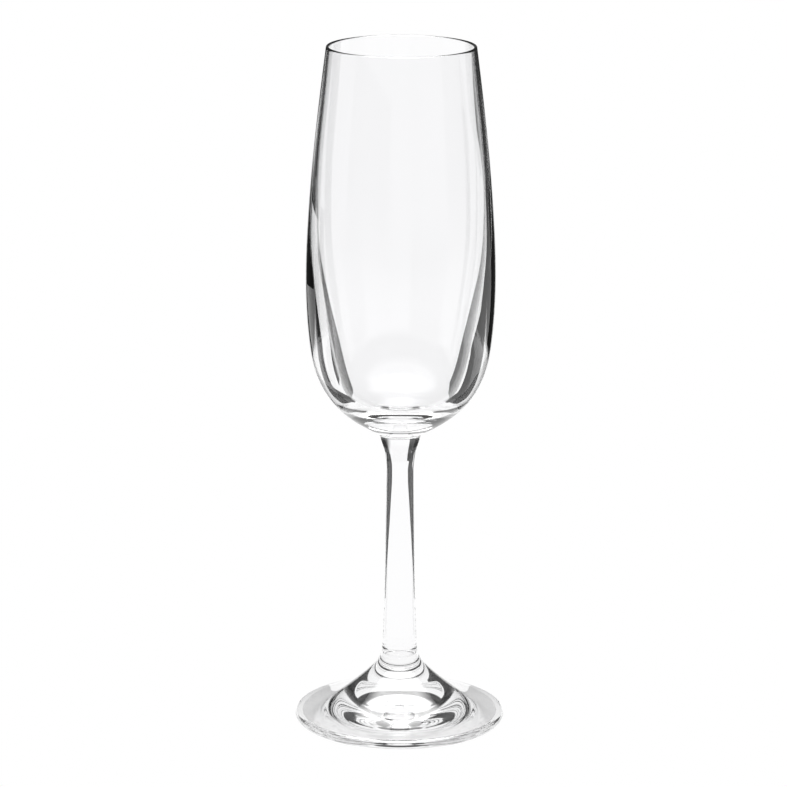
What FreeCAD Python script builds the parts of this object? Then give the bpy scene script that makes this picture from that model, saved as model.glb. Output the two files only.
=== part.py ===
import FreeCAD, Part
import math
import os

# A champagne flute of clear soda-lime glass, standing on its foot at the origin with +Z up.
# It is three pieces of glass joined by heat: a blown bowl with a thick base and a short stub,
# a drawn solid stem, and a pressed foot with a short post. Nothing on it moves.
# Millimetres. Profiles are (radius, height) points, revolved about Z.

HEIGHT = 205.0
RIM_RADIUS = 22.0
RIM_WALL = 0.9
BELLY_RADIUS = 28.0
BELLY_HEIGHT = 134.0
CREASE_RADIUS = 6.4
CREASE_HEIGHT = 88.8
UPPER_SEAM_HEIGHT = 83.3
UPPER_SEAM_RADIUS = 4.65
STEM_WAIST_RADIUS = 4.08
STEM_WAIST_HEIGHT = 75.0
LOWER_SEAM_HEIGHT = 22.6
LOWER_SEAM_RADIUS = 5.2
FLOOR_HEIGHT = 98.4
DIMPLE_RADIUS = 6.7
DIMPLE_DEPTH = 1.6
FOOT_RADIUS = 31.5
FOOT_EDGE_THICKNESS = 3.0
CONTACT_WIDTH = 1.2
UNDERSIDE_RISE = 1.8
PUNT_RADIUS = 10.5
PUNT_DEPTH = 3.0


def point(radius, height):
    return FreeCAD.Vector(radius, 0, height)


def line(start, end):
    return Part.LineSegment(point(*start), point(*end)).toShape()


def arc(start, middle, end):
    return Part.Arc(point(*start), point(*middle), point(*end)).toShape()


def smooth(points):
    """One smooth curve through a few points."""
    curve = Part.BSplineCurve()
    curve.interpolate(Points=[point(*p) for p in points])
    return curve.toShape()


def revolve(edges):
    """A solid of revolution from a closed outline that starts and ends on the axis."""
    wire = Part.Wire(Part.__sortEdges__(edges))
    solid = Part.Face(wire).revolve(FreeCAD.Vector(0, 0, 0), FreeCAD.Vector(0, 0, 1), 360)
    if solid.Volume < 0:
        solid.reverse()
    return solid


def cap(edge_radius, edge_height, rise):
    """A shallow round cap, centred on the axis, from its edge to its middle; rise may be negative."""
    sphere_radius = (edge_radius ** 2 + rise ** 2) / (2 * abs(rise))
    half_way = edge_radius / 2
    drop = sphere_radius - math.sqrt(sphere_radius ** 2 - half_way ** 2)
    middle_height = edge_height + rise - math.copysign(drop, rise)
    return arc((edge_radius, edge_height), (half_way, middle_height), (0.0, edge_height + rise))


def rim_arc(outer, inner):
    """The fire-polished rim: a half round from the outer wall over to the inner wall."""
    middle_radius = (outer[0] + inner[0]) / 2
    return arc(outer, (middle_radius, HEIGHT), inner)


def bowl():
    shoulder = HEIGHT - RIM_WALL / 2
    outer_rim = (RIM_RADIUS, shoulder)
    inner_rim = (RIM_RADIUS - RIM_WALL, shoulder)
    outer_wall = [
        outer_rim,
        (RIM_RADIUS + 3.0, 180.0),
        (BELLY_RADIUS - 0.7, 154.0),
        (BELLY_RADIUS, BELLY_HEIGHT),
        (BELLY_RADIUS - 0.9, 118.0),
        (BELLY_RADIUS - 3.2, 106.8),
        (20.0, 98.6),
        (13.0, 92.6),
        (CREASE_RADIUS, CREASE_HEIGHT),
    ]
    stub = [
        (CREASE_RADIUS, CREASE_HEIGHT),
        (5.3, 85.4),
        (UPPER_SEAM_RADIUS, UPPER_SEAM_HEIGHT),
    ]
    inner_wall = [
        (DIMPLE_RADIUS, FLOOR_HEIGHT),
        (11.5, 99.2),
        (15.8, 102.0),
        (19.0, 107.5),
        (21.6, 117.0),
        (23.8, 129.0),
        (25.2, 142.0),
        (25.3, 156.0),
        (24.6, 170.0),
        (22.9, 187.0),
        inner_rim,
    ]
    dimple_bottom = (0.0, FLOOR_HEIGHT - DIMPLE_DEPTH)
    edges = [
        smooth(outer_wall),
        smooth(stub),
        line((UPPER_SEAM_RADIUS, UPPER_SEAM_HEIGHT), (0.0, UPPER_SEAM_HEIGHT)),
        line((0.0, UPPER_SEAM_HEIGHT), dimple_bottom),
        cap(DIMPLE_RADIUS, FLOOR_HEIGHT, -DIMPLE_DEPTH),
        smooth(inner_wall),
        rim_arc(outer_rim, inner_rim),
    ]
    return revolve(edges)


def stem():
    side = [
        (UPPER_SEAM_RADIUS, UPPER_SEAM_HEIGHT),
        (STEM_WAIST_RADIUS + 0.1, UPPER_SEAM_HEIGHT - 3.6),
        (STEM_WAIST_RADIUS, STEM_WAIST_HEIGHT),
        (STEM_WAIST_RADIUS + 0.25, 56.0),
        (LOWER_SEAM_RADIUS - 0.5, 36.0),
        (LOWER_SEAM_RADIUS, LOWER_SEAM_HEIGHT),
    ]
    edges = [
        smooth(side),
        line((LOWER_SEAM_RADIUS, LOWER_SEAM_HEIGHT), (0.0, LOWER_SEAM_HEIGHT)),
        line((0.0, LOWER_SEAM_HEIGHT), (0.0, UPPER_SEAM_HEIGHT)),
        line((0.0, UPPER_SEAM_HEIGHT), (UPPER_SEAM_RADIUS, UPPER_SEAM_HEIGHT)),
    ]
    return revolve(edges)


def foot():
    edge_radius = FOOT_EDGE_THICKNESS / 2
    edge_top = (FOOT_RADIUS - edge_radius, FOOT_EDGE_THICKNESS)
    edge_nose = (FOOT_RADIUS, edge_radius)
    contact = (FOOT_RADIUS - edge_radius, 0.0)
    post_and_cone = [
        (LOWER_SEAM_RADIUS, LOWER_SEAM_HEIGHT),
        (6.1, 18.9),
        (8.4, 15.7),
        (14.0, 10.5),
        (20.0, 6.2),
        (26.0, 4.0),
        edge_top,
    ]
    inner_contact = (contact[0] - CONTACT_WIDTH, 0.0)
    underside = [inner_contact, (20.0, UNDERSIDE_RISE * 0.65), (PUNT_RADIUS, UNDERSIDE_RISE)]
    punt_top = (0.0, UNDERSIDE_RISE + PUNT_DEPTH)
    edges = [
        smooth(post_and_cone),
        arc(edge_top, edge_nose, contact),
        line(contact, inner_contact),
        smooth(underside),
        cap(PUNT_RADIUS, UNDERSIDE_RISE, PUNT_DEPTH),
        line(punt_top, (0.0, LOWER_SEAM_HEIGHT)),
        line((0.0, LOWER_SEAM_HEIGHT), (LOWER_SEAM_RADIUS, LOWER_SEAM_HEIGHT)),
    ]
    return revolve(edges)


PIECES = {"bowl": bowl, "stem": stem, "foot": foot}


def main():
    os.makedirs("parts", exist_ok=True)
    for name, make in PIECES.items():
        solid = make()
        solid.exportStep(f"parts/{name}.step")
        box = solid.BoundBox
        print(name, "valid", solid.isValid(), "volume cm3", round(solid.Volume / 1000, 2),
              "z", round(box.ZMin, 2), round(box.ZMax, 2), "width", round(box.XLength, 2))


main()
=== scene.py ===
import math

import bpy
import numpy as np
from mathutils import Matrix, Vector, noise


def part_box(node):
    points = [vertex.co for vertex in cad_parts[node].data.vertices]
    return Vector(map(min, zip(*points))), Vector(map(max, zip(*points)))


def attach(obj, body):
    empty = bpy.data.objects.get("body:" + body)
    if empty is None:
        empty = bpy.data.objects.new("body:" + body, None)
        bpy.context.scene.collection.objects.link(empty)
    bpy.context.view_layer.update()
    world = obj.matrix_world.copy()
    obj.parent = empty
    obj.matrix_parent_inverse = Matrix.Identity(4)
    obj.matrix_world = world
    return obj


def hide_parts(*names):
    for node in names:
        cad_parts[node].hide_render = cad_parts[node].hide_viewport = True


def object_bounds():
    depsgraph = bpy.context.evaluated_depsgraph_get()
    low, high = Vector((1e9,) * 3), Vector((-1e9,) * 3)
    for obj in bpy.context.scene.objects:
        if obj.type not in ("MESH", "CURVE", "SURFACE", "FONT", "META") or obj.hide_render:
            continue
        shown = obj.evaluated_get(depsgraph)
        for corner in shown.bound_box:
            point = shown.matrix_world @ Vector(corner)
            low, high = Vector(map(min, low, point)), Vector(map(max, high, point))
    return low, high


# A clear champagne flute on a white table. Lengths are metres in the CAD frame; profile points
# are (radius, height) in millimetres and are turned into metres when they are revolved.

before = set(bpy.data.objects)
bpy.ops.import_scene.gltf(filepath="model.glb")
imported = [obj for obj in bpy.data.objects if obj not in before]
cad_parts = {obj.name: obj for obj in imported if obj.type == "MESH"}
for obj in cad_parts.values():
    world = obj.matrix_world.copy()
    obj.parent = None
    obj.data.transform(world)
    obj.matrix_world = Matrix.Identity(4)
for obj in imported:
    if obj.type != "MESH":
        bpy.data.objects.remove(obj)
cad_low, cad_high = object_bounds()
MM = 0.001
HEIGHT = cad_high.z / MM
FOOT_RADIUS = cad_high.x / MM
BELLY_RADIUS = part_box("bowl")[1].x / MM
UPPER_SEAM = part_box("stem")[1].z / MM
LOWER_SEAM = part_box("stem")[0].z / MM

RIM_RADIUS = 22.0
RIM_WALL = 0.9
BELLY_HEIGHT = 134.0
CREASE = (6.4, 88.8)
UPPER_SEAM_RADIUS = 4.65
WAIST_RADIUS = 4.08
LOWER_SEAM_RADIUS = 5.2
FLOOR_HEIGHT = 98.4
DIMPLE_RADIUS = 6.7
DIMPLE_DEPTH = 1.6
FOOT_EDGE = 3.0
CONTACT_WIDTH = 1.2
UNDERSIDE_RISE = 1.8
PUNT_RADIUS = 10.5
PUNT_DEPTH = 3.0

SEGMENTS = 256
PROFILE_STEP = 0.45
BOWL_RIPPLE = 0.008
STEM_RIPPLE = 0.006
# how often a wave repeats round the glass, its length up the glass and where it starts
SLOW_WAVE = (1.6, 26.0, 3.7)
QUICK_WAVE = (5.0, 9.0, 11.3)
QUICK_SHARE = 0.35
ON_AXIS = 1e-6
SAME_RING = 0.05

GLASS_TINT = (0.985, 0.985, 0.99)
GLASS_IOR = 1.51
GLASS = 0
FUSED = 1
WHITE = (1.0, 1.0, 1.0)


# ---- camera ----

CAMERA_DISTANCE = 5.1263 * HEIGHT * MM
CAMERA_HEIGHT = 1.78 * HEIGHT * MM
CAMERA_PITCH = math.radians(14.10)
CAMERA_YAW = math.radians(0.112)
CAMERA_ROLL = math.radians(0.16)
CAMERA_LENS = 166.8
CAMERA_SENSOR = 36.0
CAMERA_REACH = 50.0


def make_camera():
    camera = bpy.data.objects.new("camera", bpy.data.cameras.new("camera"))
    camera.data.sensor_width = CAMERA_SENSOR
    camera.data.lens = CAMERA_LENS
    camera.data.clip_end = CAMERA_REACH
    camera.matrix_world = (
        Matrix.Translation((0, -CAMERA_DISTANCE, CAMERA_HEIGHT))
        @ Matrix.Rotation(CAMERA_YAW, 4, "Z")
        @ Matrix.Rotation(math.pi / 2 - CAMERA_PITCH, 4, "X")
        @ Matrix.Rotation(CAMERA_ROLL, 4, "Z")
    )
    bpy.context.scene.collection.objects.link(camera)
    bpy.context.scene.camera = camera


# ---- profiles ----

def smooth(points):
    """Points along a natural cubic spline through a few (radius, height) points."""
    knots = np.array(points, float)
    chords = np.linalg.norm(np.diff(knots, axis=0), axis=1)
    at = np.concatenate([[0.0], np.cumsum(chords)])
    count = len(knots)
    system = np.eye(count)
    right = np.zeros((count, 2))
    for i in range(1, count - 1):
        system[i, i - 1:i + 2] = chords[i - 1], 2 * (chords[i - 1] + chords[i]), chords[i]
        slope_after = (knots[i + 1] - knots[i]) / chords[i]
        slope_before = (knots[i] - knots[i - 1]) / chords[i - 1]
        right[i] = 6 * (slope_after - slope_before)
    bend = np.linalg.solve(system, right)
    where = np.linspace(0, at[-1], max(3, round(at[-1] / PROFILE_STEP)))
    span = np.clip(np.searchsorted(at, where, side="right") - 1, 0, count - 2)
    length = chords[span][:, None]
    after = (where - at[span])[:, None]
    before = length - after
    return (
        bend[span] * before ** 3 / (6 * length)
        + bend[span + 1] * after ** 3 / (6 * length)
        + (knots[span] / length - bend[span] * length / 6) * before
        + (knots[span + 1] / length - bend[span + 1] * length / 6) * after
    )


def arc(centre, radius, start_degrees, end_degrees):
    sweep = math.radians(abs(end_degrees - start_degrees))
    steps = max(8, round(radius * sweep / PROFILE_STEP))
    turn = np.radians(np.linspace(start_degrees, end_degrees, steps + 1))
    return np.column_stack([centre[0] + radius * np.cos(turn), centre[1] + radius * np.sin(turn)])


def cap(edge_radius, edge_height, rise):
    """A shallow round cap from its middle on the axis out to its edge."""
    sphere_radius = (edge_radius ** 2 + rise ** 2) / (2 * abs(rise))
    radii = np.linspace(0, edge_radius, max(6, round(edge_radius / PROFILE_STEP)))
    drop = sphere_radius - np.sqrt(sphere_radius ** 2 - radii ** 2)
    return np.column_stack([radii, edge_height + rise - math.copysign(1, rise) * drop])


def disc(radius, height):
    radii = np.linspace(0, radius, max(3, round(radius)))
    return np.column_stack([radii, np.full(len(radii), height)])


# ---- revolved glass ----

def wave(turn, height, shape):
    often, length, start = shape
    return noise.noise(Vector((often * math.cos(turn), often * math.sin(turn), height / length + start)))


def ripple(turn, height, size):
    """How far heat and the blowing iron left the surface from round, in millimetres."""
    return size * (wave(turn, height, SLOW_WAVE) + QUICK_SHARE * wave(turn, height, QUICK_WAVE))


def add_ring(vertices, radius, height, size):
    """Adds one ring of vertices and gives their numbers; on the axis they are all one vertex."""
    first = len(vertices)
    if radius < ON_AXIS:
        vertices.append((0.0, 0.0, height * MM))
        return [first] * SEGMENTS
    for k in range(SEGMENTS):
        turn = 2 * math.pi * k / SEGMENTS
        r = radius + (ripple(turn, height, size) if size else 0.0)
        vertices.append((r * math.cos(turn) * MM, r * math.sin(turn) * MM, height * MM))
    return list(range(first, first + SEGMENTS))


def join(last, ring):
    """The faces between two rings, which are triangles where one ring is a point on the axis."""
    faces = []
    for k in range(SEGMENTS):
        n = (k + 1) % SEGMENTS
        faces.append(tuple(dict.fromkeys([last[k], last[n], ring[n], ring[k]])))
    return faces


def revolve(name, stretches):
    """A closed mesh from stretches of (points, material, ripple size) that run axis to axis."""
    vertices = []
    faces = []
    materials = []
    last = None
    for points, material, size in stretches:
        for i, (radius, height) in enumerate(points):
            if i == 0 and last is not None:
                continue
            fade = min(1.0, 4.0 * i / len(points), 4.0 * (len(points) - 1 - i) / len(points))
            ring = add_ring(vertices, radius, height, size * fade if size else 0)
            if last is not None:
                faces += join(last, ring)
                materials += [material] * SEGMENTS
            last = ring
    mesh = bpy.data.meshes.new(name)
    mesh.from_pydata(vertices, [], faces)
    mesh.polygons.foreach_set("material_index", materials)
    mesh.polygons.foreach_set("use_smooth", [True] * len(faces))
    return mesh


def harden(mesh, seams):
    """Keeps the edges round the given (radius, height) seams sharp under smooth shading."""
    def on_seam(vertex):
        co = mesh.vertices[vertex].co / MM
        radius = co.xy.length
        return any(abs(radius - r) < SAME_RING and abs(co.z - z) < SAME_RING for r, z in seams)

    for edge in mesh.edges:
        if all(on_seam(vertex) for vertex in edge.vertices):
            edge.use_edge_sharp = True


def piece(name, stretches, seams):
    mesh = revolve(name, stretches)
    harden(mesh, seams)
    mesh.validate()
    mesh.update()
    mesh.materials.append(glass)
    mesh.materials.append(fused)
    made = bpy.data.objects.new(f"glass_{name}", mesh)
    bpy.context.scene.collection.objects.link(made)
    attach(made, "root")
    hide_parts(name)


def make_bowl():
    rim_height = HEIGHT - RIM_WALL / 2
    upper_seam = (UPPER_SEAM_RADIUS, UPPER_SEAM)
    stub = smooth([upper_seam, (5.3, 85.4), CREASE])
    outer_wall = smooth([
        CREASE,
        (13.0, 92.6),
        (20.0, 98.6),
        (BELLY_RADIUS - 3.2, 106.8),
        (BELLY_RADIUS - 0.9, 118.0),
        (BELLY_RADIUS, BELLY_HEIGHT),
        (BELLY_RADIUS - 0.7, 154.0),
        (RIM_RADIUS + 3.0, 180.0),
        (RIM_RADIUS, rim_height),
    ])
    rim = arc((RIM_RADIUS - RIM_WALL / 2, rim_height), RIM_WALL / 2, 0, 180)
    inner_wall = smooth([
        (RIM_RADIUS - RIM_WALL, rim_height),
        (22.9, 187.0),
        (24.6, 170.0),
        (25.3, 156.0),
        (25.2, 142.0),
        (23.8, 129.0),
        (21.6, 117.0),
        (19.0, 107.5),
        (15.8, 102.0),
        (11.5, 99.2),
        (DIMPLE_RADIUS, FLOOR_HEIGHT),
    ])
    dimple = cap(DIMPLE_RADIUS, FLOOR_HEIGHT, -DIMPLE_DEPTH)[::-1]
    stretches = [
        (disc(*upper_seam), FUSED, 0),
        (stub, GLASS, 0),
        (outer_wall, GLASS, 0),
        (rim, GLASS, 0),
        (inner_wall, GLASS, BOWL_RIPPLE),
        (dimple, GLASS, 0),
    ]
    piece("bowl", stretches, [upper_seam])


def make_stem():
    lower_seam = (LOWER_SEAM_RADIUS, LOWER_SEAM)
    upper_seam = (UPPER_SEAM_RADIUS, UPPER_SEAM)
    side = smooth([
        lower_seam,
        (LOWER_SEAM_RADIUS - 0.5, 36.0),
        (WAIST_RADIUS + 0.25, 56.0),
        (WAIST_RADIUS, 75.0),
        (WAIST_RADIUS + 0.1, UPPER_SEAM - 3.6),
        upper_seam,
    ])
    stretches = [
        (disc(*lower_seam), FUSED, 0),
        (side, GLASS, STEM_RIPPLE),
        (disc(*upper_seam)[::-1], FUSED, 0),
    ]
    piece("stem", stretches, [lower_seam, upper_seam])


def make_foot():
    edge_radius = FOOT_EDGE / 2
    edge_centre = (FOOT_RADIUS - edge_radius, edge_radius)
    inner_contact = (edge_centre[0] - CONTACT_WIDTH, 0.0)
    lower_seam = (LOWER_SEAM_RADIUS, LOWER_SEAM)
    punt = cap(PUNT_RADIUS, UNDERSIDE_RISE, PUNT_DEPTH)
    underside = smooth([(PUNT_RADIUS, UNDERSIDE_RISE), (20.0, UNDERSIDE_RISE * 0.65), inner_contact])
    contact = np.array([inner_contact, (edge_centre[0], 0.0)])
    edge = arc(edge_centre, edge_radius, -90, 90)
    cone_and_post = smooth([
        (edge_centre[0], FOOT_EDGE),
        (26.0, 4.0),
        (20.0, 6.2),
        (14.0, 10.5),
        (8.4, 15.7),
        (6.1, 18.9),
        lower_seam,
    ])
    stretches = [
        (punt, GLASS, 0),
        (underside, GLASS, 0),
        (contact, GLASS, 0),
        (edge, GLASS, 0),
        (cone_and_post, GLASS, 0),
        (disc(*lower_seam)[::-1], FUSED, 0),
    ]
    piece("foot", stretches, [lower_seam])


# ---- materials ----

def new_material(name):
    material = bpy.data.materials.new(name)
    material.use_nodes = True
    return material, material.node_tree.nodes, material.node_tree.links


def clear_glass():
    material, nodes, _ = new_material("clear_glass")
    shader = nodes["Principled BSDF"]
    shader.inputs["Base Color"].default_value = (*GLASS_TINT, 1)
    shader.inputs["Roughness"].default_value = 0.0
    shader.inputs["IOR"].default_value = GLASS_IOR
    shader.inputs["Transmission Weight"].default_value = 1.0
    return material


def fused_joint():
    """Where two pieces are melted together light goes straight from one to the other."""
    material, nodes, links = new_material("fused_joint")
    nodes.remove(nodes["Principled BSDF"])
    through = nodes.new("ShaderNodeBsdfTransparent")
    links.new(through.outputs["BSDF"], nodes["Material Output"].inputs["Surface"])
    return material


def glowing(name):
    material, nodes, links = new_material(name)
    nodes.remove(nodes["Principled BSDF"])
    glow = nodes.new("ShaderNodeEmission")
    glow.inputs["Color"].default_value = (*WHITE, 1)
    links.new(glow.outputs["Emission"], nodes["Material Output"].inputs["Surface"])
    return material, nodes, links


def fading(nodes, start, end, start_tone, end_tone):
    """A node whose Result goes from one tone to the other as its Value goes from start to end."""
    fade = nodes.new("ShaderNodeMapRange")
    fade.inputs["From Min"].default_value = start
    fade.inputs["From Max"].default_value = end
    fade.inputs["To Min"].default_value = start_tone
    fade.inputs["To Max"].default_value = end_tone
    return fade


# ---- studio ----

LIGHT_BOUNCES = 13
# how bright the room is, by the sine of the elevation; only what the glass refracts sees this room while
# the camera sees plain white, so its dark band is painted shade in the glass
ROOM_TONES = [(0.11, 1.0), (0.16, 0.05), (0.56, 0.05), (0.66, 1.0)]
CEILING_RISE = (0.75, 0.9)
# How bright the room and the far table look in the glass's reflections alone: painted reflection
REFLECTED_ROOM = 0.1
TABLE_HALF_WIDTH = 2.5
TABLE_FADE = (0.2, 1.4)
# The ceiling glows this bright only in reflections on the glass: a painted highlight
REFLECTED_CEILING = 14.0
NEAR = 0.10
SIDE = 0.19
FAR = 0.45
BEYOND = 0.62
# How brightly the cards glow: painted shade and grey that only the glass shows
DARK = 0.040
GREY = 0.45
CARD_STEPS = 8
CARD_FADE_HEIGHT = 0.12
# name: tone, tone at the table, distance, then (height, first bearing, last bearing) from bottom
# to top, with bearings in degrees from +Y towards +X
# Cards hidden from the camera and from shadows: painted dark lines and grey patches in the glass's
# refraction, and for the dark cards in its reflection too
CARDS = {
    "right_behind": (DARK, DARK, NEAR, [
        (0.0, 60, 74), (0.012, 54, 74), (0.030, 36, 70), (0.045, 26, 66), (0.064, 25, 66),
        (0.078, 29, 53), (0.10, 31, 53), (0.14, 31, 53), (0.165, 23, 53), (0.20, 22, 53),
    ]),
    "left_behind": (DARK, DARK, BEYOND, [(0.0, -20, -52), (0.22, -20, -52)]),
    "left_behind_low": (DARK, DARK, NEAR, [
        (0.0, -60, -74), (0.012, -54, -74), (0.030, -36, -70), (0.045, -25, -62), (0.054, -24, -56),
        (0.064, -26, -48), (0.085, -30, -40), (0.12, -31, -36), (0.17, -33, -34),
    ]),
    "left_side": (DARK, DARK, SIDE, [(0.0, -60, -70), (0.12, -60, -70)]),
    "right_front": (GREY, 1.0, FAR, [(0.0, 82, 118), (0.20, 82, 118)]),
    "left_front": (GREY, 1.0, FAR, [(0.0, -107, -165), (0.20, -107, -165)]),
}


def stand(name, mesh, material):
    """Puts a mesh in the scene as part of the studio and not of the glass."""
    mesh.materials.append(material)
    made = bpy.data.objects.new(name, mesh)
    bpy.context.scene.collection.objects.link(made)
    return made


def table_material():
    material, nodes, links = glowing("white_table")
    where = nodes.new("ShaderNodeTexCoord")
    away = nodes.new("ShaderNodeVectorMath")
    away.operation = "LENGTH"
    # Only reflection rays see this fade: a painted reflection of the table on the glass
    fade = fading(nodes, *TABLE_FADE, 1.0, REFLECTED_ROOM)
    fade.interpolation_type = "SMOOTHSTEP"
    ray = nodes.new("ShaderNodeLightPath")
    tone = nodes.new("ShaderNodeMix")
    tone.inputs["A"].default_value = 1.0
    links.new(where.outputs["Object"], away.inputs[0])
    links.new(away.outputs["Value"], fade.inputs["Value"])
    links.new(fade.outputs["Result"], tone.inputs["B"])
    links.new(ray.outputs["Is Reflection Ray"], tone.inputs["Factor"])
    links.new(tone.outputs["Result"], nodes["Emission"].inputs["Strength"])
    return material


def make_table():
    """A white table that fades into the dark room where the outside of the glass mirrors it. To the
    camera it glows evenly white; the fade is there only for reflection rays, a painted reflection.
    """
    side = TABLE_HALF_WIDTH
    corners = [(-side, -side, 0), (side, -side, 0), (side, side, 0), (-side, side, 0)]
    mesh = bpy.data.meshes.new("table")
    mesh.from_pydata(corners, [], [(0, 1, 2, 3)])
    stand("table", mesh, table_material())


def card_material(name, tone, foot_tone):
    # Glow from the tone at the table up to the card's tone: painted shade seen only in the glass
    material, nodes, links = glowing(f"{name}_card")
    where = nodes.new("ShaderNodeTexCoord")
    split = nodes.new("ShaderNodeSeparateXYZ")
    fade = fading(nodes, 0.0, CARD_FADE_HEIGHT, foot_tone, tone)
    links.new(where.outputs["Object"], split.inputs["Vector"])
    links.new(split.outputs["Z"], fade.inputs["Value"])
    links.new(fade.outputs["Result"], nodes["Emission"].inputs["Strength"])
    return material


def make_card(name, tone, foot_tone, distance, outline):
    """An upright curved card beside the glass, which only the light in the glass can see: its glow
    paints dark lines or grey patches into what the glass refracts, and the dark cards paint into what it
    reflects too.
    """
    vertices = []
    for height, first, last in outline:
        for k in range(CARD_STEPS + 1):
            bearing = math.radians(first + (last - first) * k / CARD_STEPS)
            vertices.append((distance * math.sin(bearing), distance * math.cos(bearing), height))
    faces = []
    row = CARD_STEPS + 1
    for corner in range(0, row * (len(outline) - 1), row):
        faces += [(k, k + 1, k + row + 1, k + row) for k in range(corner, corner + CARD_STEPS)]
    mesh = bpy.data.meshes.new(name)
    mesh.from_pydata(vertices, [], faces)
    card = stand(name, mesh, card_material(name, tone, foot_tone))
    card.visible_camera = False
    card.visible_glossy = tone == DARK
    card.visible_shadow = False


def room_tones(nodes):
    """A colour ramp of how bright the room is at each height."""
    room = nodes.new("ShaderNodeValToRGB")
    stops = room.color_ramp.elements
    for stop, (rise, _) in zip(stops, (ROOM_TONES[0], ROOM_TONES[-1])):
        stop.position = rise
    for rise, _ in ROOM_TONES[1:-1]:
        stops.new(rise)
    for stop, (_, shade) in zip(stops, ROOM_TONES):
        stop.color = (shade, shade, shade, 1)
    return room


def make_world():
    """White all round at table height, a dark room above it and a bright ceiling, for what the glass
    refracts; the camera sees plain white. The glass's reflections see a dim room and a ceiling glowing
    far brighter than white. The dark room is painted shade and the glowing ceiling a painted highlight,
    shown only in the glass.
    """
    world = bpy.data.worlds.new("studio")
    bpy.context.scene.world = world
    world.use_nodes = True
    nodes, links = world.node_tree.nodes, world.node_tree.links
    sky = nodes["Background"]
    sky.inputs["Color"].default_value = (*WHITE, 1)
    where = nodes.new("ShaderNodeTexCoord")
    split = nodes.new("ShaderNodeSeparateXYZ")
    room = room_tones(nodes)
    ceiling = fading(nodes, *CEILING_RISE, REFLECTED_ROOM, REFLECTED_CEILING)
    ray = nodes.new("ShaderNodeLightPath")
    tone = nodes.new("ShaderNodeMix")
    backdrop = nodes.new("ShaderNodeMix")
    backdrop.inputs["B"].default_value = 1.0
    links.new(where.outputs["Generated"], split.inputs["Vector"])
    links.new(split.outputs["Z"], room.inputs["Fac"])
    links.new(split.outputs["Z"], ceiling.inputs["Value"])
    links.new(ray.outputs["Is Reflection Ray"], tone.inputs["Factor"])
    links.new(room.outputs["Color"], tone.inputs["A"])
    links.new(ceiling.outputs["Result"], tone.inputs["B"])
    links.new(ray.outputs["Is Camera Ray"], backdrop.inputs["Factor"])
    links.new(tone.outputs["Result"], backdrop.inputs["A"])
    links.new(backdrop.outputs["Result"], sky.inputs["Strength"])


def set_light_paths():
    scene = bpy.context.scene
    scene.view_settings.view_transform = "Standard"
    scene.cycles.max_bounces = LIGHT_BOUNCES
    scene.cycles.glossy_bounces = LIGHT_BOUNCES
    scene.cycles.transmission_bounces = LIGHT_BOUNCES


glass = clear_glass()
fused = fused_joint()
make_camera()
make_bowl()
make_stem()
make_foot()
make_table()
for card_name, card_shape in CARDS.items():
    make_card(card_name, *card_shape)
make_world()
set_light_paths()
